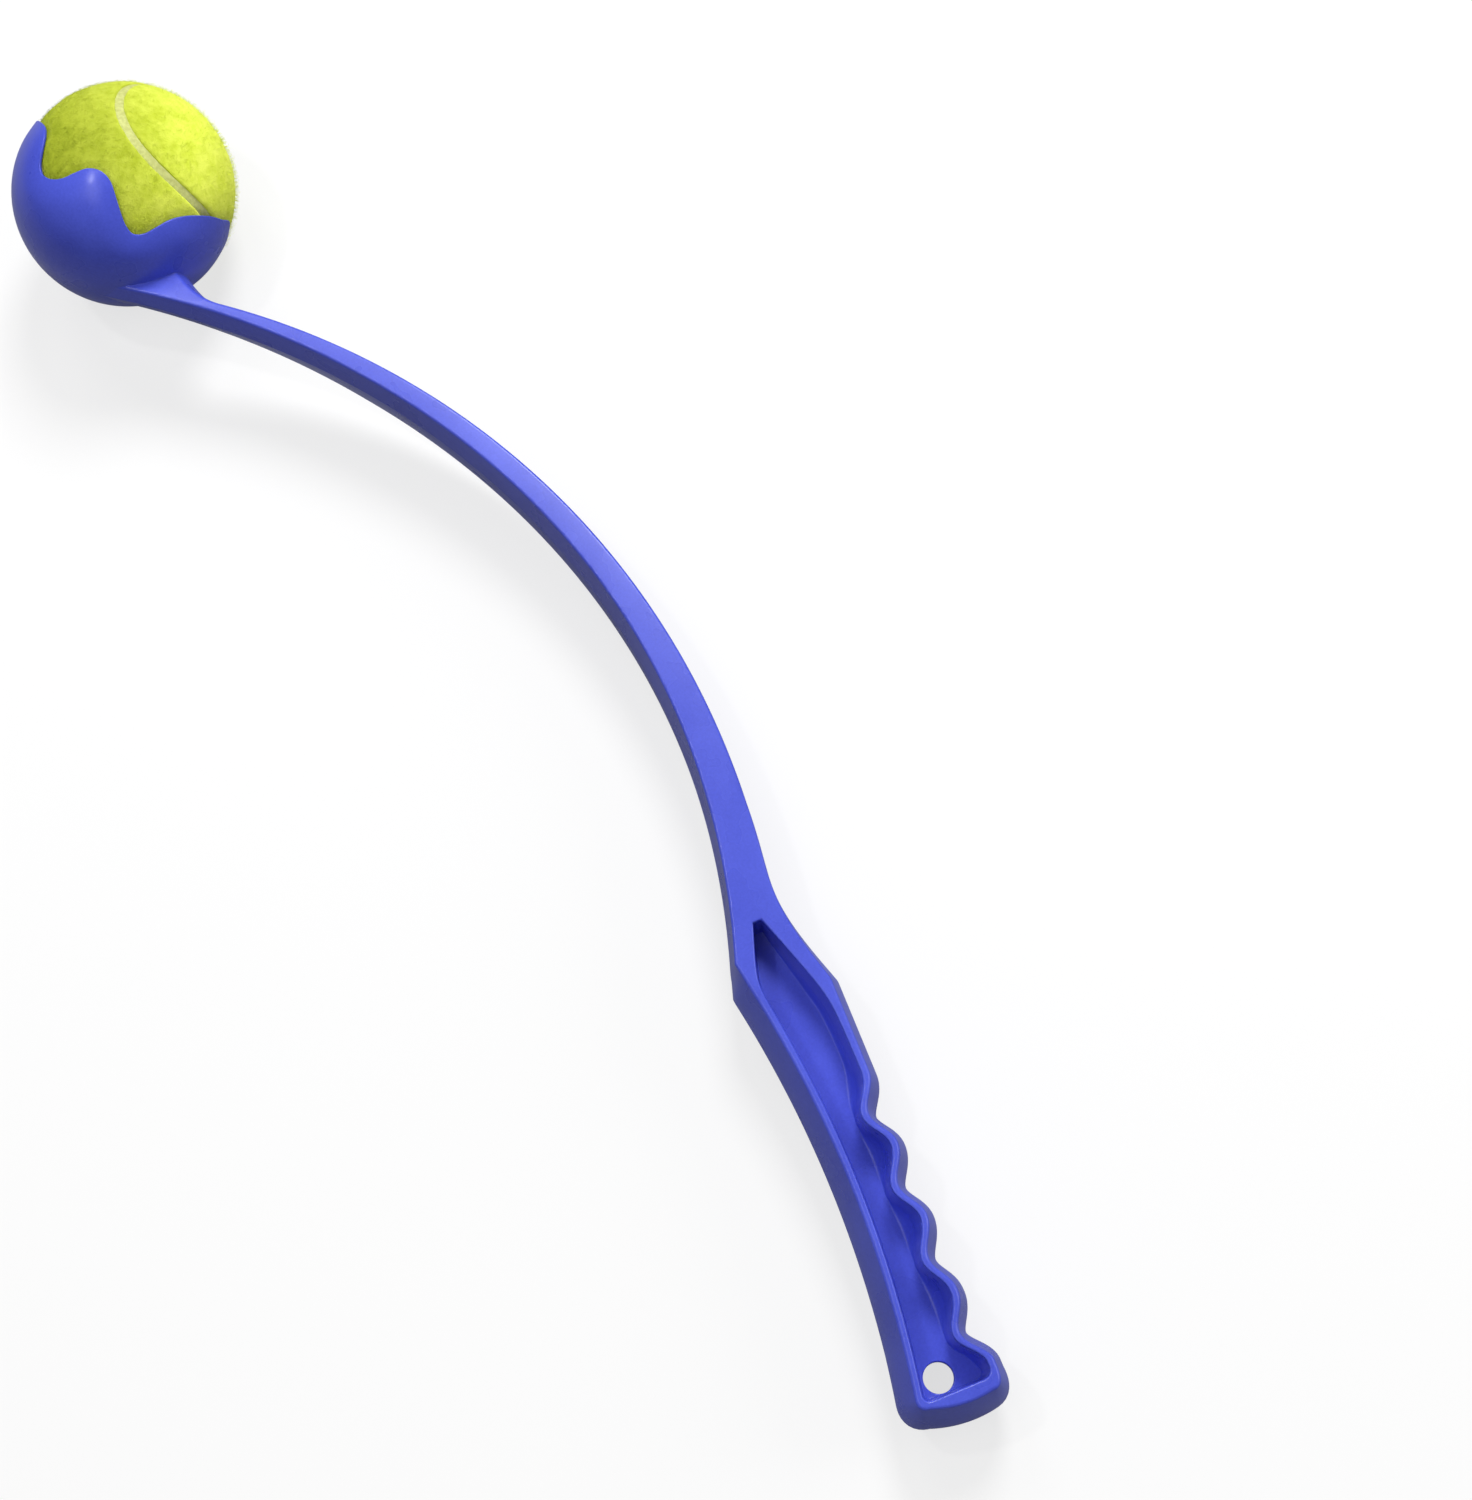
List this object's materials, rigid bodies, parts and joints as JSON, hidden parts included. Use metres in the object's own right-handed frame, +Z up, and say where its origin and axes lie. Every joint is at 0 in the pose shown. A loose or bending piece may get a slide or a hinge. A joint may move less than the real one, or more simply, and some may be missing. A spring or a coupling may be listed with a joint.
{
  "type": "dog ball thrower",
  "caption": "Dog ball thrower: a one-piece plastic moulding with a cup, a curved flexible arm and a finger-grooved handle, and a felt ball held in the cup.",
  "frame": {"origin": "middle of the box's base: the ground under the thrower as it lies on its side, resting on the ball and on the finger side of its handle", "axes": "+Z up, +Y from the handle's end towards the ball, +X towards the side that the handle's finger grooves face"},
  "size_m": [0.2882, 0.3942, 0.0642],
  "materials": {
    "blue_polypropylene": "semi-gloss moulded plastic",
    "yellow_felt": "fuzzy needle felt",
    "seam_rubber": "matt, slightly sunk",
    "ball_rubber": "matt moulded rubber"
  },
  "bodies": {
    "thrower": {"thrower": "blue_polypropylene"},
    "ball": {"ball_core_half_a": "ball_rubber", "ball_core_half_b": "ball_rubber", "felt_panel_a": "yellow_felt", "felt_panel_b": "yellow_felt", "felt_seam": "seam_rubber"}
  },
  "joints": [
    {"name": "ball_release", "type": "slide", "parent": "thrower", "child": "ball", "axis": [0.4493, 0.8924, 0.0411], "range_m": [0, 0.08]}
  ]
}
